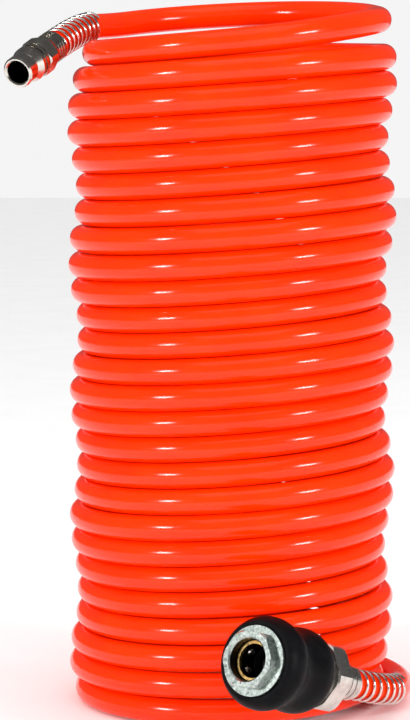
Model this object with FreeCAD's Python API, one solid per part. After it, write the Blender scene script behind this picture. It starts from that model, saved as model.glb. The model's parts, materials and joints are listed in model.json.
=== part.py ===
import FreeCAD, Part
import math
import os

# Coiled air hose: a nylon recoil hose standing on end, with a plug on its top end and a
# quick coupler on its bottom end, each behind a kink spring.
# Millimetres. Origin on the coil's axis at the surface it stands on, +Z up, -Y the front.

# ---------------------------------------------------------------- driving dimensions
# hose
hose_od = 8.0
hose_bore = 6.0
coil_radius = 47.0            # axis of the coil to the centre of the hose
turns_fixed = 17              # full turns below the first one that opens
links_per_side = 7            # front halves that open, and as many back halves
closed_gap = 0.05             # turns that stay closed lie almost on each other
open_gap = 0.4                # turns that open keep this apart
turn_lean = 3.0               # the right of each turn stands this much above a level helix
sway = 1.4                    # turns wander sideways by this much
sway_turns = 5.25             # turns in one wander
top_turn_inset = 3.5          # the top turn starts this much inside the coil's radius
top_turn_over = 2.4           # its front half climbs this much more than the hose's thickness
top_turn_end = 150.0          # degrees round the back where the top turn stops
top_turn_drop = 2.0           # and how far the back has come down there

# plug end
plug_heading = -116.6         # degrees from +X, the way the plug points
plug_pitch = -20.0            # degrees, nose down
plug_lead_runs = (11.5, 15.5, 6.7)
plug_lead_dip = 2.6           # how much more the middle run follows the plug than the coil
plug_insertion = 7.0          # hose inside the plug's ferrule
plug_ferrule_wall = 1.1
plug_ferrule_length = 5.8
plug_hex_af = 11.0
plug_hex_length = 5.2
plug_rib_step = 0.7           # ribs above the nose
plug_neck_step = 0.8          # neck below the ribs
plug_rib_width = 1.3
plug_rib_gap = 0.8
plug_groove_depth = 0.8       # locking groove below the nose
plug_groove_length = 2.6
plug_nose_od = 10.0
plug_nose_length = 4.8
plug_nose_cone = 0.6          # length of the cone from groove to nose
plug_bore = 7.2
plug_spring_length = 25.0
plug_spring_coils = 9

# coupler end
coupler_out = 1.6             # rear of the ferrule, beyond the coil's radius, in hose diameters
coupler_bearing = -54.0       # degrees round the coil
coupler_height = 15.0
coupler_heading = -127.5
coupler_pitch = 17.4          # nose up
coupler_insertion = 10.0      # hose inside the coupler's ferrule
coupler_lead_straight = 5.0   # from the ferrule's rear back to the lead's last corner
coupler_spring_length = 32.0
coupler_spring_coils = 8
coupler_ferrule_wall = 1.5
coupler_ferrule_length = 12.6
rear_hex_af = 20.0
rear_hex_length = 7.5
collar_length = 2.3
gasket_width = 0.5
valve_spring_coils = 3
valve_spring_slack = 0.2      # left between coils at full travel
chamber_wall = 1.9
sleeve_travel = 3.0
sleeve_stop_gap = 0.5         # left between grip and rear hex at full travel
sleeve_wall = 2.33
sleeve_pocket_wall = 0.6
sleeve_pocket_length = 9.6
grip_front_wall = 4.1         # grip above the sleeve at its front bead
grip_waist_wall = 2.0
grip_rear_wall = 3.0
grip_length = 26.0
stop_ring_step = 0.6          # stop ring above the sleeve
stop_ring_width = 1.3
nose_wall = 1.9               # mouth to the flats of the nose hexagon
nose_hex_length = 3.4
mouth_clearance = 0.6         # radial, plug's ribs in the mouth
nose_clearance = 0.15         # radial, plug's nose in the guide ring and body
guide_ring_wall = 0.85
guide_ring_width = 1.2
ball_count = 6
ball_diameter = 3.2
ball_lift = 0.75              # outward travel that frees the plug
ball_reach = 0.8              # ball inside the body's bore when locked
ball_setback = 3.4            # balls behind the guide ring
seal_setback = 6.6            # seal behind the guide ring
seal_width = 3.0
seal_depth = 1.25
seal_squeeze = 0.2            # seal inside the body's bore
seat_gap = 1.4                # seal to the valve seat
seat_length = 1.5
valve_seat_bore = 7.2
valve_travel = 3.0
valve_head_gap = 0.9          # radial, valve head in its chamber
valve_head_width = 1.5
valve_seal_width = 1.0
valve_nose_wall = 1.45

# shared
stem_bore = 4.0
stem_reach = 1.5              # barbed stems reach this far behind the ferrule's rear
barb_height = 0.25
barb_count = 3
spring_wire = 1.0
inner_spring_wire = 0.8
spring_fit = 0.1              # radial, kink spring round the hose
running_gap = 0.25            # radial, between sliding metal parts
ball_gap = 0.05               # radial, ball in its hole
contact_gap = 0.12            # ball to the land above it
piece_gap = 0.4               # between parts that only pass each other
edge_break = 0.5
corner_round = 1.1            # radius that rounds a hexagon's corners, over half its flats

# ---------------------------------------------------------------- sizes that follow
hose_r = hose_od / 2
bore_r = hose_bore / 2
closed_pitch = hose_od + closed_gap
open_pitch = hose_od + open_gap
turns_total = turns_fixed + 1 + links_per_side
spring_mean_r = hose_r + spring_fit + spring_wire / 2
plug_ferrule_r = hose_r + plug_ferrule_wall
coupler_ferrule_r = hose_r + coupler_ferrule_wall


def vec(x, y, z):
    return FreeCAD.Vector(x, y, z)


def heading(bearing, pitch):
    """Unit vector at a compass angle from +X and an angle above level."""
    b, p = math.radians(bearing), math.radians(pitch)
    return vec(math.cos(p) * math.cos(b), math.cos(p) * math.sin(b), math.sin(p))


def around(out, bearing, height):
    """A point so many hose diameters beyond the coil's radius, at an angle round the coil."""
    r, b = coil_radius + out * hose_od, math.radians(bearing)
    return vec(r * math.cos(b), r * math.sin(b), height)


def unit(v):
    return v * (1 / v.Length)


# ---------------------------------------------------------------- coil geometry
def left_seam(turn):
    """Where a turn's front half starts, at the left of the coil."""
    height = hose_r + closed_pitch * min(turn, turns_fixed) + open_pitch * max(turn - turns_fixed, 0)
    inset = sway * math.cos(2 * math.pi * (turns_total - turn) / sway_turns)
    if turn == turns_total:
        inset = top_turn_inset
    return vec(inset - coil_radius, 0, height)


def right_seam(turn):
    """Where a turn's front half ends and its back half starts, at the right."""
    rise = hose_od + top_turn_over if turn == turns_total else open_pitch / 2 + turn_lean
    out = sway * math.cos(2 * math.pi * (turns_total - turn - 1.6) / sway_turns)
    return vec(coil_radius + out, 0, left_seam(turn).z + rise)


def bent_tube(start, centre, axis, degrees):
    """Solid hose swung about an axis, from a round end that faces along Y."""
    disc = Part.Face(Part.Wire(Part.makeCircle(hose_r, start, vec(0, 1, 0))))
    return disc.revolve(centre, axis, degrees)


def half_turn(a, b):
    """Half a turn of hose from seam a to seam b, counterclockwise from above."""
    across = b - a
    up = across.cross(vec(0, 1, 0))
    if across.x < 0:
        up = up * -1
    return bent_tube(a, (a + b) * 0.5, up, 180)


def coil_block():
    """The closed turns as one ring, with its top under the first half turn that opens."""
    outer = coil_radius + hose_r
    inner = coil_radius - hose_r
    first = turns_fixed
    low_left = left_seam(first).z + hose_r
    right = right_seam(first).z + hose_r
    high_left = left_seam(first + 1).z + hose_r
    height = high_left + right
    ring = Part.makeCylinder(outer, height).cut(Part.makeCylinder(inner, height))
    reach = outer + 1
    halves = []
    for left, y in ((low_left, -reach), (high_left, 0)):
        slope = (right - left) / (2 * coil_radius)
        middle = (left + right) / 2
        corners = [vec(-reach, y, 0), vec(reach, y, 0), vec(reach, y, middle + slope * reach),
                   vec(-reach, y, middle - slope * reach), vec(-reach, y, 0)]
        prism = Part.Face(Part.makePolygon(corners)).extrude(vec(0, reach, 0))
        halves.append(ring.common(prism))
    return halves[0].fuse(halves[1])


# ---------------------------------------------------------------- routes of the leads
class Route:
    """Straight runs joined by tangent arcs, through a list of points.

    The last part of the last run is held straight inside a fitting.
    """

    def __init__(self, name, points, held):
        self.name = name
        self.pieces = []
        start = points[0]
        for before, corner, after in zip(points, points[1:], points[2:]):
            into, out = corner - before, after - corner
            half = into.getAngle(out) / 2
            tangent = 0.45 * min(into.Length, out.Length)
            if after is points[-1]:
                tangent = min(tangent, out.Length - held)
            radius = tangent / math.tan(half)
            print(f"{name}: arc of radius {radius:.1f} at {corner.x:.1f}, {corner.y:.1f}, {corner.z:.1f}")
            arc_start = corner - unit(into) * tangent
            side = unit(into.cross(out))
            centre = arc_start + side.cross(unit(into)) * radius
            self.pieces.append(("run", start, arc_start))
            self.pieces.append(("arc", arc_start, centre, side, 2 * half))
            start = corner + unit(out) * tangent
        self.pieces.append(("run", start, points[-1]))

    @staticmethod
    def piece_length(piece):
        if piece[0] == "run":
            return (piece[2] - piece[1]).Length
        return (piece[1] - piece[2]).Length * piece[4]

    def length(self):
        return sum(self.piece_length(piece) for piece in self.pieces)

    def at(self, distance):
        """The point and the direction this far along the route."""
        for piece in self.pieces:
            span = self.piece_length(piece)
            if distance <= span or piece is self.pieces[-1]:
                break
            distance -= span
        if piece[0] == "run":
            along = unit(piece[2] - piece[1])
            return piece[1] + along * distance, along
        kind, start, centre, side, angle = piece
        spin = FreeCAD.Rotation(side, math.degrees(angle * distance / span))
        arm = spin.multVec(start - centre)
        return centre + arm, side.cross(unit(arm))

    def tube(self, radius):
        """The solid along the route, checked against section times length."""
        solids = []
        for piece in self.pieces:
            if piece[0] == "run":
                along = piece[2] - piece[1]
                solids.append(Part.makeCylinder(radius, along.Length, piece[1], along))
                continue
            kind, start, centre, side, angle = piece
            facing = side.cross(start - centre)
            disc = Part.Face(Part.Wire(Part.makeCircle(radius, start, facing)))
            solids.append(disc.revolve(centre, side, math.degrees(angle)))
        whole = solids[0].multiFuse(solids[1:])
        expected = math.pi * radius ** 2 * self.length()
        print(f"{self.name}: length {self.length():.1f}, volume {whole.Volume:.0f}, expected {expected:.0f}")
        return whole.Solids[0]


# ---------------------------------------------------------------- turned and milled pieces
def frame_at(origin, axis):
    """Placement whose +Z is the axis and whose +X is level."""
    z = unit(axis)
    x = unit(vec(-z.y, z.x, 0))
    y = z.cross(x)
    matrix = FreeCAD.Matrix(x.x, y.x, z.x, origin.x, x.y, y.y, z.y, origin.y,
                            x.z, y.z, z.z, origin.z, 0, 0, 0, 1)
    return FreeCAD.Placement(matrix)


def turned(*outline):
    """A solid of revolution about Z from (radius, height) corners."""
    corners = [vec(r, 0, z) for r, z in outline]
    corners.append(corners[0])
    return Part.Face(Part.makePolygon(corners)).revolve(vec(0, 0, 0), vec(0, 0, 1), 360)


def ring(r_in, r_out, z0, z1):
    return turned((r_in, z0), (r_out, z0), (r_out, z1), (r_in, z1))


def rod(r, z0, z1):
    return Part.makeCylinder(r, z1 - z0, vec(0, 0, z0))


def hex_prism(flats, z0, z1):
    """Hexagon bar with corners rounded off and both ends chamfered."""
    corners = [vec(flats / math.sqrt(3) * math.cos(math.radians(60 * k)),
                   flats / math.sqrt(3) * math.sin(math.radians(60 * k)), z0) for k in range(7)]
    bar = Part.Face(Part.makePolygon(corners)).extrude(vec(0, 0, z1 - z0))
    r = flats / 2 * corner_round
    shoulder = r - edge_break
    blank = turned((0, z0), (shoulder, z0), (r, z0 + edge_break), (r, z1 - edge_break), (shoulder, z1),
                   (0, z1))
    return bar.common(blank)


def barbs(z_end, z_root):
    """Barbed stem for the hose bore, its tip at z_end."""
    outline = [(0, z_end), (bore_r - barb_height, z_end)]
    step = (z_root - z_end) / (barb_count + 1)
    for k in range(barb_count):
        z = z_end + step * (k + 1)
        outline += [(bore_r + barb_height, z), (bore_r, z)]
    outline += [(bore_r, z_root), (0, z_root)]
    return turned(*outline)


def grooved_ferrule(r, length, grooves):
    """Crimped ring round the hose, with fine turned grooves."""
    body = ring(hose_r, r, 0, length)
    step = length / (grooves + 1)
    half_width = 0.3
    depth = 0.3
    for k in range(grooves):
        z = step * (k + 1)
        body = body.cut(ring(r - depth, 2 * r, z - half_width, z + half_width))
    return body


def zigzag_spring(centres, directions, normal, mean_r, wire):
    """A spring of half rings that lean to and fro, between points on its centre line."""
    ends = []
    for k, (centre, along) in enumerate(zip(centres, directions)):
        flat = centre - normal * (centre - centres[0]).dot(normal)
        side = unit(normal.cross(along)) * mean_r
        ends.append(flat + side if k % 2 == 0 else flat - side)
    solids = []
    for k, (a, b) in enumerate(zip(ends, ends[1:])):
        disc = Part.Face(Part.Wire(Part.makeCircle(wire / 2, a, normal)))
        bulge = normal if k % 2 == 0 else normal * -1
        solids.append(disc.revolve((a + b) * 0.5, unit((b - a).cross(bulge)) * -1, 180))
    return solids[0].multiFuse(solids[1:]).Solids[0]


def straight_spring(z0, z1, coils, mean_r, wire):
    """A spring along Z that fills z0 to z1."""
    steps = 2 * coils
    low, high = z0 + wire / 2, z1 - wire / 2
    centres = [vec(0, 0, low + (high - low) * k / steps) for k in range(steps + 1)]
    return zigzag_spring(centres, [vec(0, 0, 1)] * (steps + 1), vec(0, 1, 0), mean_r, wire)


def route_spring(route, near_end, length, coils):
    """A kink spring round the last stretch of a lead, stopping near_end short of its end."""
    steps = 2 * coils
    last = route.length() - near_end - spring_wire / 2
    marks = [route.at(last - (length - spring_wire) * k / steps) for k in range(steps + 1)]
    centres = [point for point, along in marks]
    normal = unit((centres[coils] - centres[0]).cross(centres[-1] - centres[0]))
    return zigzag_spring(centres, [along for point, along in marks], normal, spring_mean_r, spring_wire)


# ---------------------------------------------------------------- hose
parts = {}
parts["hose_coil"] = coil_block()

first_open = turns_fixed + 1
for number in range(links_per_side):
    turn = first_open + number
    parts[f"hose_link_{2 * number + 1:02d}"] = half_turn(left_seam(turn), right_seam(turn))
    parts[f"hose_link_{2 * number + 2:02d}"] = half_turn(right_seam(turn), left_seam(turn + 1))

# top turn: front half, then round the back, coming down a little towards its end
top_left, top_right = left_seam(turns_total), right_seam(turns_total)
back_fall = top_turn_drop / (coil_radius * (1 - math.cos(math.radians(top_turn_end))))
back_axis = unit(vec(-back_fall, 0, 1))
back_centre = top_right - unit(vec(1, 0, back_fall)) * coil_radius
back_half = bent_tube(top_right, back_centre, back_axis, top_turn_end)
parts["hose_top_turn"] = half_turn(top_left, top_right).fuse(back_half)

# top lead: leaves the turn along its tangent and dips into the plug
back_spin = FreeCAD.Rotation(back_axis, top_turn_end)
lead_start = back_centre + back_spin.multVec(top_right - back_centre)
lead_along = back_spin.multVec(vec(0, 1, 0))
plug_axis = heading(plug_heading, plug_pitch)
plug_middle = unit(lead_along + plug_axis * plug_lead_dip)
lead_corner = lead_start + lead_along * plug_lead_runs[0]
plug_corner = lead_corner + plug_middle * plug_lead_runs[1]
plug_origin = plug_corner + plug_axis * plug_lead_runs[2]
plug_hose_end = plug_origin + plug_axis * plug_insertion
top_route = Route("top lead", [lead_start, lead_corner, plug_corner, plug_hose_end], plug_insertion)

# bottom lead: out of the coil at the back, round the right on the floor, up into the coupler
coupler_axis = heading(coupler_heading, coupler_pitch)
coupler_origin = around(coupler_out, coupler_bearing, coupler_height)
coupler_hose_end = coupler_origin + coupler_axis * coupler_insertion
bottom_points = [
    around(0.05, 126, hose_r),
    around(0.35, 104.5, hose_r),
    around(0.6, 84, hose_r),
    around(0.8, 64, hose_r),
    around(0.96, 44.5, hose_r),
    around(1.07, 24.5, hose_r + 0.4),
    around(1.15, 5, hose_r + 1.4),
    around(1.25, -14.5, hose_r + 3.0),
    around(1.36, -33.5, hose_r + 5.8),
    coupler_origin - coupler_axis * coupler_lead_straight,
    coupler_hose_end,
]
bottom_route = Route("bottom lead", bottom_points, coupler_insertion)

coupler_frame = frame_at(coupler_origin, coupler_axis)
plug_frame = frame_at(plug_origin, plug_axis)


def bored_for_stem(tube, frame, insertion):
    """Open the hose end for the barbed stem."""
    socket = rod(bore_r, -2, insertion + 1)
    socket.Placement = frame
    return tube.cut(socket)


parts["hose_top_lead"] = bored_for_stem(top_route.tube(hose_r), plug_frame, plug_insertion)
parts["hose_bottom_lead"] = bored_for_stem(bottom_route.tube(hose_r), coupler_frame, coupler_insertion)
parts["plug_kink_spring"] = route_spring(top_route, plug_insertion, plug_spring_length, plug_spring_coils)
parts["coupler_kink_spring"] = route_spring(bottom_route, coupler_insertion, coupler_spring_length,
                                            coupler_spring_coils)


# ---------------------------------------------------------------- plug
def plug_body():
    """Hexagon, two ribs, locking groove and nose in one turned bar, bored through."""
    z = plug_insertion
    hexagon = hex_prism(plug_hex_af, z, z + plug_hex_length)
    z += plug_hex_length
    nose = plug_nose_od / 2
    rib = nose + plug_rib_step
    neck = rib - plug_neck_step
    groove = nose - plug_groove_depth
    rib_1, gap_1 = z + plug_rib_gap, z + plug_rib_gap + plug_rib_width
    rib_2 = gap_1 + plug_rib_gap
    groove_start = rib_2 + plug_rib_width
    nose_start = groove_start + plug_groove_length
    tip = nose_start + plug_nose_length
    shank = turned((0, z), (neck, z), (neck, rib_1), (rib, rib_1), (rib, gap_1), (neck, gap_1),
                   (neck, rib_2), (rib, rib_2), (rib, groove_start), (groove, groove_start + rib - groove),
                   (groove, nose_start), (nose, nose_start + plug_nose_cone), (nose, tip - edge_break),
                   (nose - edge_break, tip), (0, tip))
    bore = rod(plug_bore / 2, z - 1, tip + 1)
    mouth = turned((0, tip - edge_break), (plug_bore / 2, tip - edge_break),
                   (plug_bore / 2 + edge_break, tip), (0, tip))
    stem = barbs(-stem_reach, z - plug_hex_length)
    solid = hexagon.fuse(shank).fuse(stem)
    return solid.cut(bore).cut(mouth).cut(rod(stem_bore / 2, -2 * stem_reach, z)), tip


plug_solid, plug_tip = plug_body()
plug_pieces = {
    "plug_ferrule": grooved_ferrule(plug_ferrule_r, plug_ferrule_length, 3),
    "plug_body": plug_solid,
}

# ---------------------------------------------------------------- coupler, along its axis
hex_start = coupler_ferrule_length + piece_gap
collar_start = hex_start + rear_hex_length
collar_end = collar_start + collar_length
body_start = collar_end + gasket_width
grip_start = collar_start + sleeve_travel + sleeve_stop_gap
grip_end = grip_start + grip_length
sleeve_rear = collar_end + sleeve_travel + piece_gap
sleeve_front = grip_end - edge_break
pocket_end = sleeve_rear + sleeve_pocket_length
hex_flange = sleeve_front + stop_ring_width
nose_end = hex_flange + nose_hex_length
guide_start = hex_flange - guide_ring_width
ball_centre = guide_start - ball_setback
seal_end = guide_start - seal_setback
seal_start = seal_end - seal_width
seat_end = seal_start - seat_gap
seat_start = seat_end - seat_length
valve_head_end = seat_start - valve_seal_width
valve_head_start = valve_head_end - valve_head_width
spigot_end = valve_head_start - valve_travel - valve_spring_coils * inner_spring_wire - valve_spring_slack

body_bore_r = plug_nose_od / 2 + nose_clearance
mouth_r = plug_nose_od / 2 + plug_rib_step + mouth_clearance
nose_hex_af = 2 * (mouth_r + nose_wall)
guide_r = body_bore_r + guide_ring_wall
seal_r = body_bore_r + seal_depth
seat_r = valve_seat_bore / 2
ball_r = ball_diameter / 2
ball_rest = body_bore_r - ball_reach + ball_r
land_r = ball_rest + ball_r + contact_gap
body_r = land_r - running_gap
chamber_r = body_r - chamber_wall
valve_head_r = chamber_r - valve_head_gap
valve_nose_r = seat_r - running_gap
sleeve_r = land_r + sleeve_wall
pocket_r = sleeve_r - sleeve_pocket_wall
sleeve_spring_r = (body_r + pocket_r) / 2
collar_r = sleeve_spring_r + inner_spring_wire / 2 + running_gap
stop_ring_r = sleeve_r + stop_ring_step
recess_r = stop_ring_r + piece_gap


def coupler_body():
    """Tube with the nose hexagon, ball holes, seal groove and valve seat."""
    tube = rod(body_r, body_start, hex_flange)
    tube = tube.fuse(hex_prism(nose_hex_af, hex_flange, nose_end))
    past = 1
    edge = nose_end - edge_break
    cuts = [
        rod(chamber_r, body_start - past, seat_start),
        rod(seat_r, seat_start - past, seal_start),
        rod(body_bore_r, seat_end, guide_start + past),
        rod(seal_r, seal_start, seal_end),
        rod(guide_r, guide_start, hex_flange + past),
        rod(mouth_r, hex_flange, nose_end + past),
        turned((0, edge), (mouth_r, edge), (mouth_r + edge_break, nose_end),
               (mouth_r + edge_break, nose_end + past), (0, nose_end + past)),
    ]
    for k in range(ball_count):
        hole = Part.makeCylinder(ball_r + ball_gap, body_r + past, vec(0, 0, ball_centre), radial(k))
        cuts.append(hole)
    for cut in cuts:
        tube = tube.cut(cut)
    return tube


def radial(k):
    """Outward direction of ball k."""
    angle = math.radians(360 / ball_count * (k + 0.5))
    return vec(math.cos(angle), math.sin(angle), 0)


def release_sleeve():
    """Sliding tube: spring pocket behind, land over the balls, ramp in front of them."""
    ramp_end_r = land_r + ball_lift / sleeve_travel * (sleeve_front - ball_centre)
    return turned((pocket_r, sleeve_rear), (sleeve_r, sleeve_rear), (sleeve_r, sleeve_front),
                  (ramp_end_r, sleeve_front), (land_r, ball_centre), (land_r, pocket_end),
                  (pocket_r, pocket_end))


def sleeve_grip():
    """Soft grip on the sleeve: a bead at each end and a waist between."""
    front = sleeve_r + grip_front_wall
    waist = sleeve_r + grip_waist_wall
    rear = sleeve_r + grip_rear_wall
    rear_bore = collar_r + piece_gap
    seat = sleeve_front - edge_break
    marks = [(0, rear - 2.2), (0.06, rear - 0.7), (0.16, rear), (0.3, rear - 0.2), (0.42, waist + 0.2),
             (0.5, waist), (0.58, waist + 0.3), (0.72, front - 0.3), (0.84, front), (0.94, front - 0.8),
             (1, front - 2.0)]
    points = [vec(r, 0, grip_start + grip_length * t) for t, r in marks]
    curve = Part.BSplineCurve()
    curve.interpolate(points)
    inner = [points[-1], vec(recess_r, 0, grip_end), vec(recess_r, 0, seat), vec(sleeve_r, 0, seat),
             vec(sleeve_r, 0, sleeve_rear), vec(rear_bore, 0, sleeve_rear), vec(rear_bore, 0, grip_start),
             points[0]]
    outline = Part.Wire([curve.toShape()] + Part.makePolygon(inner).Edges)
    return Part.Face(outline).revolve(vec(0, 0, 0), vec(0, 0, 1), 360)


def rear_adapter():
    """Barbed stem, hexagon, collar and the threaded spigot that closes the body."""
    stem = barbs(-stem_reach, hex_start)
    neck = rod(hose_r, coupler_insertion, hex_start)
    hexagon = hex_prism(rear_hex_af, hex_start, collar_start)
    collar = rod(collar_r, collar_start, collar_end)
    spigot = rod(chamber_r, collar_end, spigot_end)
    solid = stem.fuse(neck).fuse(hexagon).fuse(collar).fuse(spigot)
    return solid.cut(rod(stem_bore / 2, -2 * stem_reach, spigot_end + 1))


def valve_poppet():
    """Valve disc behind its seat, with the hollow nose that the plug pushes."""
    window_width, window_height, proud = 1.4, 1.6, 1.2
    head = rod(valve_head_r, valve_head_start, valve_head_end)
    nose = ring(valve_nose_r - valve_nose_wall, valve_nose_r, valve_head_end, seal_start + proud)
    corner = vec(-chamber_r, -window_width / 2, seat_end - window_height / 8)
    window = Part.makeBox(2 * chamber_r, window_width, window_height, corner)
    return head.fuse(nose).cut(window)


valve_spring_r = (stem_bore / 2 + chamber_r) / 2
coupler_pieces = {
    "coupler_ferrule": grooved_ferrule(coupler_ferrule_r, coupler_ferrule_length, 4),
    "rear_adapter": rear_adapter(),
    "adapter_gasket": ring(chamber_r, body_r, collar_end, body_start),
    "coupler_body": coupler_body(),
    "brass_guide_ring": ring(body_bore_r, guide_r, guide_start, hex_flange),
    "plug_seal": ring(body_bore_r - seal_squeeze, seal_r, seal_start, seal_end),
    "sleeve_stop_ring": ring(body_r, stop_ring_r, sleeve_front, hex_flange),
    "release_sleeve": release_sleeve(),
    "sleeve_grip": sleeve_grip(),
    "sleeve_spring": straight_spring(collar_end, pocket_end, 5, sleeve_spring_r, inner_spring_wire),
    "valve_poppet": valve_poppet(),
    "valve_seal": ring(valve_nose_r, valve_head_r, valve_head_end, seat_start),
    "valve_spring": straight_spring(spigot_end, valve_head_start, valve_spring_coils, valve_spring_r,
                                    inner_spring_wire),
}
for k in range(ball_count):
    centre = radial(k) * ball_rest + vec(0, 0, ball_centre)
    coupler_pieces[f"locking_ball_{k + 1}"] = Part.makeSphere(ball_r, centre)

for pieces, frame in ((plug_pieces, plug_frame), (coupler_pieces, coupler_frame)):
    for name, solid in pieces.items():
        solid.Placement = frame.multiply(solid.Placement)
        parts[name] = solid

# ---------------------------------------------------------------- export
os.makedirs("parts", exist_ok=True)
for name, shape in parts.items():
    solid = shape.Solids[0] if len(shape.Solids) == 1 else shape
    print(f"{name}: {len(shape.Solids)} solid, valid {shape.isValid()}, volume {shape.Volume:.1f}")
    solid.exportStep(f"parts/{name}.step")
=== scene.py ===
import json
import math
import random

import bpy
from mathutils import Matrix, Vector


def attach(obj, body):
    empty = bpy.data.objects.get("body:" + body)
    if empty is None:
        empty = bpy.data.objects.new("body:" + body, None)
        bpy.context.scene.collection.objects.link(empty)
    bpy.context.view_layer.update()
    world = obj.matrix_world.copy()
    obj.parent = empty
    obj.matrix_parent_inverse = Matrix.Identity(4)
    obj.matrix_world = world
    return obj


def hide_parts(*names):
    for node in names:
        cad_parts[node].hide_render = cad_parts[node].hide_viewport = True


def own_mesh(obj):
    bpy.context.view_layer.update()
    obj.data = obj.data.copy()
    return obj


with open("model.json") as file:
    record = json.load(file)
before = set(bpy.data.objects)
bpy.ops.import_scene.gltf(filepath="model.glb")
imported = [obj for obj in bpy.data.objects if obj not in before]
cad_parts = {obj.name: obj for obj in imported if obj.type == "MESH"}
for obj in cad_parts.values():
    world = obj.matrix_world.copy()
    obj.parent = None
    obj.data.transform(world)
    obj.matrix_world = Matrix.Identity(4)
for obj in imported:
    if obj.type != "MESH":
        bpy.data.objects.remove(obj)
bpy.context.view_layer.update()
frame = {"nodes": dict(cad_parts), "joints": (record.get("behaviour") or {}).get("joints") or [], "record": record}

# Coiled air hose, in metres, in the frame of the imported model: the coil's axis is Z, the floor is z = 0
# and the front is -Y.
random.seed(26)

# ---------------------------------------------------------------- the hose's sizes
HOSE_D = 0.008
COIL_R = 0.047
TURNS_FIXED = 17                   # the highest turn that stays closed, counted from 0
TOP_TURN = 25                      # the turn at the top, counted the same way
CLOSED_PITCH = 0.00805             # from a left seam to the next one up
OPEN_PITCH = 0.0084                # the front of a turn climbs half of this, and its lean
LEAN = 0.003
LEAN_LOST_AT_FLOOR = 0.0044        # the lowest turns lie flatter than the rest
LEAN_RECOVERS_IN = 2.9             # turns
SWAY = 0.0014                      # the turns lie this far to one side and the other,
SWAY_TURNS = 5.25                  # in a cycle of so many turns,
SWAY_LAG = 1.6                     # with the right seams so many turns out of step
SWAY_UNEVEN = 0.0003
STEPS = 12                         # control points in half a turn
TOP_BACK_STEPS = 10                # of which the top turn's back has this many
TOP_BACK_FALL = 0.0046             # its far seam lies so much lower than its near one
TOP_BACK_HUMP = 0.0042             # and its middle rises by this
TOP_TURN_END = math.radians(150)   # where the lead leaves the turn
TOP_TURN_DROP = 0.002              # the fall from the right seam to there
TOP_TURN_OVER = 0.0024             # the gap that the top turn climbs over, besides a hose's thickness
TOP_LATE_RISE = 0.0032             # the part of that climb that comes only at its end
LATE_POWER = 4
PLUG_INSERTION = 0.007
COUPLER_INSERTION = 0.010
COUPLER_LEAD_STRAIGHT = 0.005      # the straight stretch of hose behind the coupler

# the hose is drawn 0.06 to 0.34 mm thicker than HOSE_D, so that the turns close up as in the photograph
CLOSED_R = 0.00403
OPEN_R = 0.00417
TOP_R = 0.00404
HOSE_SIDES = 28
LINE_RESOLUTION = 6                # points that each span of a hose's NURBS line is read at
ON_FLOOR = HOSE_D / 2              # the height of the middle of a hose that lies on the floor


def polar(out, bearing, height):
    """A point so many hose diameters beyond the coil's radius, at a bearing in degrees round its axis."""
    r, b = COIL_R + out * HOSE_D, math.radians(bearing)
    return Vector((r * math.cos(b), r * math.sin(b), height))


def heading(bearing, pitch):
    """The unit direction at this bearing and this many degrees above level."""
    b, p = math.radians(bearing), math.radians(pitch)
    return Vector((math.cos(p) * math.cos(b), math.cos(p) * math.sin(b), math.sin(p)))


COUPLER_AXIS = heading(-127.5, 17.4)
COUPLER_ORIGIN = polar(1.6, -54, 0.015)
PLUG_AXIS = heading(-116.6, -20.0)
PLUG_RUNS = (0.0115, 0.0155, 0.0067)    # the top lead's three runs, up to the plug
PLUG_LEAD_DIP = 2.6                     # how much more the middle run follows the plug than the turn

# ---------------------------------------------------------------- camera
CAMERA_X, CAMERA_Y, CAMERA_Z = -0.0086, -0.927, 0.212
CAMERA_DOWN = 6.29
CAMERA_LENS = 145.0

camera_data = bpy.data.cameras.new("camera")
camera_data.lens = CAMERA_LENS
camera_data.sensor_width = 36.0
camera_data.clip_start = 0.05
camera_data.clip_end = 20.0
camera = bpy.data.objects.new("camera", camera_data)
camera.location = (CAMERA_X, CAMERA_Y, CAMERA_Z)
camera.rotation_euler = (math.radians(90 - CAMERA_DOWN), 0, 0)
bpy.context.scene.collection.objects.link(camera)
bpy.context.scene.camera = camera


# ---------------------------------------------------------------- cords
def link_object(name, data):
    piece = bpy.data.objects.new(name, data)
    bpy.context.scene.collection.objects.link(piece)
    return piece


def centre_line(points):
    """The points that the NURBS spline of these control points passes through."""
    curve = bpy.data.curves.new("centre_line", "CURVE")
    curve.dimensions = "3D"
    curve.resolution_u = LINE_RESOLUTION
    spline = curve.splines.new("NURBS")
    spline.points.add(len(points) - 1)
    for target, point in zip(spline.points, points):
        target.co = (*point, 1)
    spline.order_u = 3
    spline.use_endpoint_u = True
    bare = link_object("centre_line", curve)
    mesh = bpy.data.meshes.new_from_object(bare.evaluated_get(bpy.context.evaluated_depsgraph_get()))
    line = [vertex.co.copy() for vertex in mesh.vertices]
    bpy.data.meshes.remove(mesh)
    bpy.data.objects.remove(bare)
    return line


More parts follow.
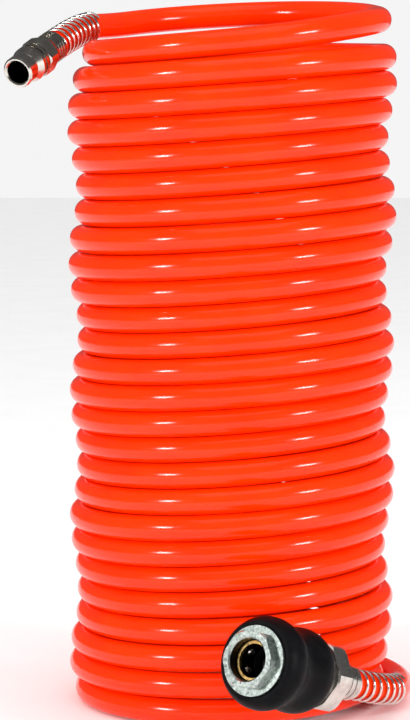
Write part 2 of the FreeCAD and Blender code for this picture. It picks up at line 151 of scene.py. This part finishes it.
def tube_mesh(name, line, radius, sides, first_way=None, last_way=None):
    """A closed round tube along a fine line of points, with its seam kept from twisting.

    Its ends are square to first_way and last_way, or to the line where those aren't given.
    """
    vertices, faces = [], []
    side = None
    last = len(line) - 1
    for k, point in enumerate(line):
        along = line[min(k + 1, last)] - line[max(k - 1, 0)]
        if k == 0 and first_way:
            along = first_way
        if k == last and last_way:
            along = last_way
        along = along.normalized()
        side = along.orthogonal() if side is None else side
        side = (side - along * side.dot(along)).normalized()
        other = along.cross(side)
        for s in range(sides):
            angle = 2 * math.pi * s / sides
            vertices.append(point + (side * math.cos(angle) + other * math.sin(angle)) * radius)
    for k in range(last):
        for s in range(sides):
            t = (s + 1) % sides
            faces.append((k * sides + s, k * sides + t, (k + 1) * sides + t, (k + 1) * sides + s))
    faces.append(tuple(reversed(range(sides))))
    faces.append(tuple(last * sides + s for s in range(sides)))
    mesh = bpy.data.meshes.new(name)
    mesh.from_pydata(vertices, [], faces)
    mesh.update()
    for polygon in mesh.polygons:
        polygon.use_smooth = len(polygon.vertices) == 4
    for edge in mesh.edges:
        ends = sorted(edge.vertices)
        edge.use_edge_sharp = ends[1] < sides or ends[0] >= last * sides
    return link_object(name, mesh)


def hose_tube(name, points, radius):
    """A length of hose along the NURBS spline of these control points, and its centre line."""
    line = centre_line(points)
    return tube_mesh(name, line, radius, HOSE_SIDES, points[1] - points[0], points[-1] - points[-2]), line


def half_turn(a, b, steps=STEPS, lift=0.0, late=0.0):
    """Control points of half a turn from seam a to seam b, counterclockwise from above.

    Lift raises its middle, and late is the part of its rise that comes only near its end.
    """
    step = math.pi / STEPS
    centre, arm = (a + b) / 2, (a - b) / 2
    across = Vector((0, arm.x, 0))
    reach = 1 / math.cos(step / 2)
    points = []
    for k in range(steps):
        angle = (k + 0.5) * step
        done = (1 - math.cos(angle)) / 2
        hump = Vector((0, 0, lift * math.sin(angle) + late * (done ** LATE_POWER - done)))
        points.append(centre + (arm * math.cos(angle) + across * math.sin(angle)) * reach + hump)
    return points


seam_joints = [joint for joint in frame["joints"] if joint["name"] == "coil_stretch" or
               joint["name"].startswith("seam_") or joint["name"] == "top_turn_level"]
open_seams = [Vector(joint["pos_m"]) for joint in seam_joints]
link_bodies = [joint["child"] for joint in seam_joints[:-1]]


def left_seam(turn):
    """Where this turn starts, at the coil's left."""
    inset = SWAY * math.cos(2 * math.pi * (TOP_TURN - turn) / SWAY_TURNS)
    return Vector((inset - COIL_R, 0, HOSE_D / 2 + CLOSED_PITCH * turn))


def right_seam(turn):
    """Where this turn's front ends and its back begins, at the coil's right."""
    lean = LEAN - LEAN_LOST_AT_FLOOR * math.exp(-turn / LEAN_RECOVERS_IN)
    out = SWAY * math.cos(2 * math.pi * (TOP_TURN - turn - SWAY_LAG) / SWAY_TURNS)
    return Vector((COIL_R + out, 0, left_seam(turn).z + OPEN_PITCH / 2 + lean))


# lower hose: out of the coupler, round the right and the back on the floor, then up the closed turns
coupler_hose_end = COUPLER_ORIGIN + COUPLER_AXIS * COUPLER_INSERTION
lower_lead = [
    coupler_hose_end,
    COUPLER_ORIGIN - COUPLER_AXIS * COUPLER_LEAD_STRAIGHT,
    polar(1.33, -33.5, 0.0090),
    polar(1.12, -14.5, 0.0058),
    polar(1.02, 5, 0.0046),
    polar(1.0, 24.5, 0.0041),
    polar(0.98, 44.5, ON_FLOOR),
    polar(0.93, 64, ON_FLOOR),
    polar(0.84, 84, ON_FLOOR),
    polar(0.72, 104.5, ON_FLOOR),
    polar(0.56, 126, ON_FLOOR),
    polar(0.34, 146, ON_FLOOR),
    polar(0.10, 164, ON_FLOOR),
]
seams = []
for turn in range(TURNS_FIXED + 1):
    seams += [left_seam(turn), right_seam(turn)]
seams.append(open_seams[0])
for seam in seams[1:-1]:
    seam.x += random.uniform(-1, 1) * SWAY_UNEVEN
lower_points = list(lower_lead)
for a, b in zip(seams, seams[1:]):
    lower_points += half_turn(a, b)
lower_points.append(open_seams[0])
hose_lower, lower_line = hose_tube("hose_lower", lower_points, CLOSED_R)
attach(hose_lower, "coil")
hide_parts("hose_coil", "hose_bottom_lead")

# opening half turns, each from one seam to the next
links = []
for number, (body, a, b) in enumerate(zip(link_bodies, open_seams, open_seams[1:]), 1):
    link, link_line = hose_tube(f"hose_half_turn_{number:02d}", [a] + half_turn(a, b) + [b], OPEN_R)
    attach(link, body)
    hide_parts(f"hose_link_{number:02d}")
    links.append((link, link_line))

# top turn: front half, round the back, then out along the tangent and down into the plug
top_left = open_seams[-1]
rise = HOSE_D + TOP_TURN_OVER
top_out = SWAY * math.cos(2 * math.pi * -SWAY_LAG / SWAY_TURNS)
fall_slope = TOP_TURN_DROP / (COIL_R * (1 - math.cos(TOP_TURN_END)))
top_right = Vector((COIL_R + top_out, 0, top_left.z + rise))
back_centre_x = top_right.x - COIL_R
lead_start = Vector((back_centre_x + COIL_R * math.cos(TOP_TURN_END), COIL_R * math.sin(TOP_TURN_END),
                     top_right.z - TOP_TURN_DROP))
lead_along = Vector((-math.sin(TOP_TURN_END), math.cos(TOP_TURN_END),
                     -math.sin(TOP_TURN_END) * fall_slope)).normalized()
lead_corner = lead_start + lead_along * PLUG_RUNS[0]
plug_corner = lead_corner + (lead_along + PLUG_AXIS * PLUG_LEAD_DIP).normalized() * PLUG_RUNS[1]
plug_origin = plug_corner + PLUG_AXIS * PLUG_RUNS[2]
far_left = Vector((back_centre_x - COIL_R, 0, top_right.z - TOP_BACK_FALL))
top_back = half_turn(top_right, far_left, TOP_BACK_STEPS, lift=TOP_BACK_HUMP)
top_points = ([top_left] + half_turn(top_left, top_right, late=TOP_LATE_RISE) + top_back +
              [lead_corner, plug_corner, plug_origin + PLUG_AXIS * PLUG_INSERTION])
hose_top, top_line = hose_tube("hose_top", top_points, TOP_R)
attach(hose_top, "plug_end")
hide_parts("hose_top_turn", "hose_top_lead")


# ---------------------------------------------------------------- springs
POINTS_PER_COIL = 28
WIRE_SIDES = 12
WIRE = 0.001
SPRING_CLEARANCE = 0.0001
SPRING_R = HOSE_D / 2 + SPRING_CLEARANCE + WIRE / 2
PLUG_SPRING_LENGTH, PLUG_SPRING_COILS = 0.025, 9
COUPLER_SPRING_LENGTH, COUPLER_SPRING_COILS = 0.032, 8
INNER_WIRE = 0.0008
INNER_CLOSED_ENDS = 0.6


def at_distance(line, distance):
    """The point and direction this far along a line."""
    for a, b in zip(line, line[1:]):
        step = (b - a).length
        if distance <= step or b is line[-1]:
            return a + (b - a) * (distance / step), (b - a).normalized()
        distance -= step


def helix_along(line, start, length, coils, radius, wire, closed_ends=0.0):
    """Points of a right-hand helix round a line, from start for this length.

    Closed_ends, from 0 to 1, is how much closer its end coils lie than an even helix's.
    """
    count = round(POINTS_PER_COIL * coils)
    points = []
    side = None
    for k in range(count + 1):
        t = k / count
        eased = t - closed_ends * math.sin(4 * math.pi * t) / (4 * math.pi)
        centre, along = at_distance(line, start + wire / 2 + (length - wire) * eased)
        if side is None:
            side = along.orthogonal()
        side = (side - along * side.dot(along)).normalized()
        angle = 2 * math.pi * coils * t
        points.append(centre + (side * math.cos(angle) + along.cross(side) * math.sin(angle)) * radius)
    return points


plug_helix = helix_along(top_line[::-1], PLUG_INSERTION, PLUG_SPRING_LENGTH, PLUG_SPRING_COILS, SPRING_R,
                         WIRE)
plug_spring = tube_mesh("plug_spring", plug_helix, WIRE / 2, WIRE_SIDES)
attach(plug_spring, "plug_end")
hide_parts("plug_kink_spring")

coupler_helix = helix_along(lower_line, COUPLER_INSERTION, COUPLER_SPRING_LENGTH, COUPLER_SPRING_COILS,
                            SPRING_R, WIRE)
coupler_spring = tube_mesh("coupler_spring", coupler_helix, WIRE / 2, WIRE_SIDES)
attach(coupler_spring, "coil")
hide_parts("coupler_kink_spring")

# the two springs inside the coupler, drawn at their rest length; the joint and travel listed with each are not
# used here
for name, node, joint, start, end, coils, radius, travel in (
        ("sleeve_return_spring", "sleeve_spring", "sleeve_pull", 0.0228, 0.0358, 5, 0.00841, 0.003),
        ("valve_return_spring", "valve_spring", "valve_push", 0.0290, 0.0346, 3, 0.00376, 0.003)):
    axis_line = [COUPLER_ORIGIN + COUPLER_AXIS * z for z in (start, (start + end) / 2, end)]
    coil = helix_along(axis_line, 0, end - start, coils, radius, INNER_WIRE, INNER_CLOSED_ENDS)
    spring = tube_mesh(name, coil, INNER_WIRE / 2, WIRE_SIDES)
    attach(spring, "coil")
    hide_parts(node)
    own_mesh(spring)


# ---------------------------------------------------------------- materials
NOISE_LOW, NOISE_HIGH = 0.3, 0.7   # most of a noise texture lies between these
BORE_SHADE_EDGE = 0.0002                 # the width over which the painted bore shade fades out
# painted shade: the near black colour painted inside bores, in place of the shade deep in a hole
PAINTED_BORE_SHADE = (0.018, 0.015, 0.012, 1)
PLUG_BORE_R = 0.0036
MOUTH_R = 0.0063


class Shader:
    """One procedural material: a Principled shader with a few linked textures in object space."""

    def __init__(self, name):
        self.material = bpy.data.materials.new(name)
        self.material.use_nodes = True
        self.tree = self.material.node_tree
        self.bsdf = self.tree.nodes["Principled BSDF"]
        self.place = self.tree.nodes.new("ShaderNodeTexCoord").outputs["Object"]

    def set(self, **values):
        for socket, value in values.items():
            self.bsdf.inputs[socket.replace("_", " ")].default_value = value
        return self

    def node(self, kind, inputs=None, **settings):
        node = self.tree.nodes.new(kind)
        for name, value in settings.items():
            setattr(node, name, value)
        for socket, value in (inputs or {}).items():
            if isinstance(value, bpy.types.NodeSocket):
                self.tree.links.new(value, node.inputs[socket])
            else:
                node.inputs[socket].default_value = value
        return node

    def noise(self, scale, detail=4.0, roughness=0.55, place=None):
        node = self.node("ShaderNodeTexNoise", {"Vector": place or self.place, "Scale": scale,
                                                "Detail": detail, "Roughness": roughness})
        return node.outputs["Fac"]

    def spots(self, scale):
        node = self.node("ShaderNodeTexVoronoi", {"Vector": self.place, "Scale": scale})
        return node.outputs["Distance"]

    def along(self, axis, scale):
        """A coordinate that changes only along an axis, for rings turned on a lathe."""
        dot = self.node("ShaderNodeVectorMath", {0: self.place, 1: tuple(axis)}, operation="DOT_PRODUCT")
        combine = self.node("ShaderNodeCombineXYZ", {"X": dot.outputs["Value"]})
        return self.noise(scale, 6.0, 0.7, combine.outputs["Vector"])

    def colour(self, factor, low, high, start=NOISE_LOW, end=NOISE_HIGH):
        """Base colour from low to high, as the factor goes from start to end."""
        ramp = self.node("ShaderNodeValToRGB", {"Fac": factor})
        for element, shade, position in zip(ramp.color_ramp.elements, (low, high), (start, end)):
            element.color = (*shade, 1)
            element.position = position
        self.tree.links.new(ramp.outputs["Color"], self.bsdf.inputs["Base Color"])
        return self

    def span(self, factor, low, high, start, end):
        """A value from low to high, as the factor goes from start to end."""
        node = self.node("ShaderNodeMapRange", {"Value": factor, "From Min": start, "From Max": end,
                                                "To Min": low, "To Max": high})
        return node.outputs["Result"]

    def rough(self, factor, low, high):
        """Roughness from low to high over a noise texture."""
        span = self.span(factor, low, high, NOISE_LOW, NOISE_HIGH)
        self.tree.links.new(span, self.bsdf.inputs["Roughness"])
        return self

    def from_axis(self, origin, axis):
        """The distance from an axis."""
        offset = self.node("ShaderNodeVectorMath", {0: self.place, 1: tuple(origin)}, operation="SUBTRACT")
        across = self.node("ShaderNodeVectorMath", {0: offset.outputs["Vector"], 1: tuple(axis)},
                           operation="CROSS_PRODUCT")
        length = self.node("ShaderNodeVectorMath", {0: across.outputs["Vector"]}, operation="LENGTH")
        return length.outputs["Value"]

    def paint_bore_shade(self, origin, axis, radius):
        """Paints shade into the colour: nearly black inside this radius, standing in for the shade deep in a bore.
        """
        socket = self.bsdf.inputs["Base Color"]
        bright = socket.links[0].from_socket
        # painted shade: the plating's colour changes to the near black bore colour inside the radius
        outside = self.span(self.from_axis(origin, axis), 0.0, 1.0, radius, radius + BORE_SHADE_EDGE)
        # a mix node's colours are its inputs 6 and 7 and its output 2
        blend = self.node("ShaderNodeMix", {0: outside, 6: PAINTED_BORE_SHADE, 7: bright}, data_type="RGBA")
        self.tree.links.new(blend.outputs[2], socket)
        return self

    def bump(self, *layers):
        """Stacked bumps: each layer is a height, its strength and its depth in metres."""
        normal = None
        for height, strength, depth in layers:
            inputs = {"Height": height, "Strength": strength, "Distance": depth}
            if normal:
                inputs["Normal"] = normal
            normal = self.node("ShaderNodeBump", inputs).outputs["Normal"]
        self.tree.links.new(normal, self.bsdf.inputs["Normal"])
        return self


def hose_nylon():
    s = Shader("hose_nylon")
    s.set(IOR=1.50, Specular_IOR_Level=0.28, Subsurface_Weight=0.12, Subsurface_Scale=0.002,
          Subsurface_Radius=(1.0, 0.25, 0.05))
    s.colour(s.noise(55, 3.0), (0.93, 0.026, 0.0), (1.0, 0.035, 0.0))
    s.rough(s.noise(420, 6.0, 0.7), 0.11, 0.19)
    s.bump((s.noise(90, 2.0), 0.25, 0.0004), (s.noise(1600, 3.0), 0.08, 0.00005))
    return s.material


def plated(name, axis, low, high, rough_low, rough_high, bore=None):
    """Bright plating over turned metal: rings round the axis, stains and fine scratches, and painted shade inside
    a bore where one is given.
    """
    s = Shader(name)
    s.set(Metallic=1.0)
    s.colour(s.noise(260, 5.0, 0.65), low, high)
    # painted shade: the colour turns nearly black inside the given bore
    if bore:
        s.paint_bore_shade(bore[0], axis, bore[1])
    rings = s.along(axis, 5200)
    s.rough(s.noise(700, 6.0, 0.7), rough_low, rough_high)
    s.bump((rings, 0.22, 0.00003), (s.noise(1500, 4.0), 0.10, 0.00003))
    return s.material


def zinc():
    """Zinc plate with a mottled passivate and small bright specks, and painted shade inside the coupler's mouth.
    """
    s = Shader("zinc_plate")
    s.set(Metallic=1.0)
    s.colour(s.noise(1100, 7.0, 0.75), (0.20, 0.26, 0.24), (0.60, 0.65, 0.61), 0.36, 0.60)
    # painted shade: nearly black inside the coupler's mouth
    s.paint_bore_shade(COUPLER_ORIGIN, COUPLER_AXIS, MOUTH_R)
    s.rough(s.noise(900, 6.0, 0.7), 0.22, 0.48)
    s.bump((s.spots(1500), 0.16, 0.00008), (s.noise(2600, 4.0), 0.2, 0.00005))
    return s.material


def spring_wire():
    s = Shader("spring_wire")
    s.set(Metallic=1.0)
    s.colour(s.noise(500, 4.0), (0.62, 0.60, 0.57), (0.82, 0.80, 0.76))
    s.rough(s.noise(1200, 5.0, 0.7), 0.14, 0.30)
    s.bump((s.noise(3000, 4.0), 0.12, 0.00003))
    return s.material


def brass():
    s = Shader("brass")
    s.set(Metallic=1.0)
    s.colour(s.noise(600, 5.0), (0.55, 0.33, 0.10), (0.80, 0.56, 0.22))
    s.rough(s.noise(900, 5.0), 0.22, 0.40)
    s.bump((s.along(COUPLER_AXIS, 6000), 0.2, 0.00003))
    return s.material


def rubber(name, low, high, rough_low, rough_high, depth):
    """Moulded black rubber: fine grain, with scuffs where it's rubbed."""
    s = Shader(name)
    s.set(IOR=1.5, Specular_IOR_Level=0.05)
    s.colour(s.noise(160, 5.0, 0.7), low, high, 0.35, 0.75)
    s.rough(s.noise(300, 6.0, 0.75), rough_low, rough_high)
    s.bump((s.noise(1400, 5.0, 0.65), 0.35, depth), (s.spots(2400), 0.10, depth / 2))
    return s.material


# the plug's plating, with painted shade inside its bore
nickel_plug = plated("nickel_plug", PLUG_AXIS, (0.50, 0.47, 0.42), (0.76, 0.73, 0.67), 0.12, 0.26,
                     (plug_origin, PLUG_BORE_R))
paint = {
    "hose_nylon": hose_nylon(),
    "nickel_plate": plated("nickel_coupler", COUPLER_AXIS, (0.50, 0.48, 0.44), (0.78, 0.76, 0.71),
                           0.14, 0.30),
    "zinc_plate": zinc(),
    "spring_steel": spring_wire(),
    "brass": brass(),
    "black_grip": rubber("grip_rubber", (0.002, 0.002, 0.0025), (0.007, 0.007, 0.008), 0.36, 0.52, 0.00006),
    "seal_rubber": rubber("seal_rubber", (0.012, 0.012, 0.012), (0.030, 0.030, 0.030), 0.5, 0.7, 0.00003),
    "ball_steel": plated("ball_metal", COUPLER_AXIS, (0.66, 0.66, 0.67), (0.82, 0.82, 0.83), 0.06, 0.14),
    "valve_plastic": rubber("valve_acetal", (0.030, 0.030, 0.033), (0.050, 0.050, 0.055),
                            0.32, 0.45, 0.00002),
}
for piece in [hose_lower, hose_top] + [link for link, _ in links]:
    piece.data.materials.append(paint["hose_nylon"])
for name in ("plug_spring", "coupler_spring", "sleeve_return_spring", "valve_return_spring"):
    bpy.data.objects[name].data.materials.append(paint["spring_steel"])
slot_of = {sub["node"]: sub["material_slot"] for sub in frame["record"]["subparts"]}
for node, piece in frame["nodes"].items():
    slot = slot_of[node]
    plug_metal = node.startswith("plug_") and slot == "nickel_plate"
    for holder in piece.material_slots:
        holder.material = nickel_plug if plug_metal else paint[slot]

# ---------------------------------------------------------------- floor and light
FLOOR_HALF = 3.0
floor_mesh = bpy.data.meshes.new("floor")
floor_mesh.from_pydata([(-FLOOR_HALF, -FLOOR_HALF, 0), (FLOOR_HALF, -FLOOR_HALF, 0),
                        (FLOOR_HALF, FLOOR_HALF, 0), (-FLOOR_HALF, FLOOR_HALF, 0)], [], [(0, 1, 2, 3)])
floor = link_object("floor", floor_mesh)
floor_shader = Shader("floor_paper").set(Roughness=0.85)
floor_shader.colour(floor_shader.noise(30, 3.0), (0.93, 0.93, 0.93), (0.96, 0.96, 0.96))
floor.data.materials.append(floor_shader.material)

# a white studio: paper white behind the hose, and dimmer where it only shows in gloss
BACKDROP, FILL, SEEN_IN_GLOSS = 0.91, 0.94, 0.10
world = bpy.data.worlds.new("studio")
world.use_nodes = True
tree = world.node_tree
background = tree.nodes["Background"]
background.inputs["Color"].default_value = (1, 1, 1, 1)
ray = tree.nodes.new("ShaderNodeLightPath")
for_camera, for_gloss = tree.nodes.new("ShaderNodeMath"), tree.nodes.new("ShaderNodeMath")
for step, flag, change in ((for_camera, "Is Camera Ray", BACKDROP - FILL),
                           (for_gloss, "Is Glossy Ray", SEEN_IN_GLOSS - FILL)):
    step.operation = "MULTIPLY_ADD"
    tree.links.new(ray.outputs[flag], step.inputs[0])
    step.inputs[1].default_value = change
for_camera.inputs[2].default_value = FILL
tree.links.new(for_camera.outputs["Value"], for_gloss.inputs[2])
tree.links.new(for_gloss.outputs["Value"], background.inputs["Strength"])
bpy.context.scene.world = world
bpy.context.scene.view_settings.view_transform = "Standard"


COIL_MIDDLE = Vector((0, 0, 0.105))


def soft_box(name, azimuth, elevation, distance, width, height, power):
    """A soft box that faces the middle of the coil, at an azimuth from the front."""
    a, e = math.radians(azimuth), math.radians(elevation)
    away = Vector((math.sin(a) * math.cos(e), -math.cos(a) * math.cos(e), math.sin(e)))
    light = bpy.data.lights.new(name, "AREA")
    light.shape = "RECTANGLE"
    light.size = width
    light.size_y = height
    light.energy = power
    lamp = link_object(name, light)
    lamp.location = COIL_MIDDLE + away * distance
    lamp.rotation_euler = (-away).to_track_quat("-Z", "Y").to_euler()


soft_box("left_box", -50, 14, 1.3, 0.22, 0.22, 8.5)
soft_box("right_box", 52, 14, 1.3, 0.28, 0.20, 8.5)
soft_box("top_box", 0, 75, 1.2, 1.0, 1.0, 2.5)
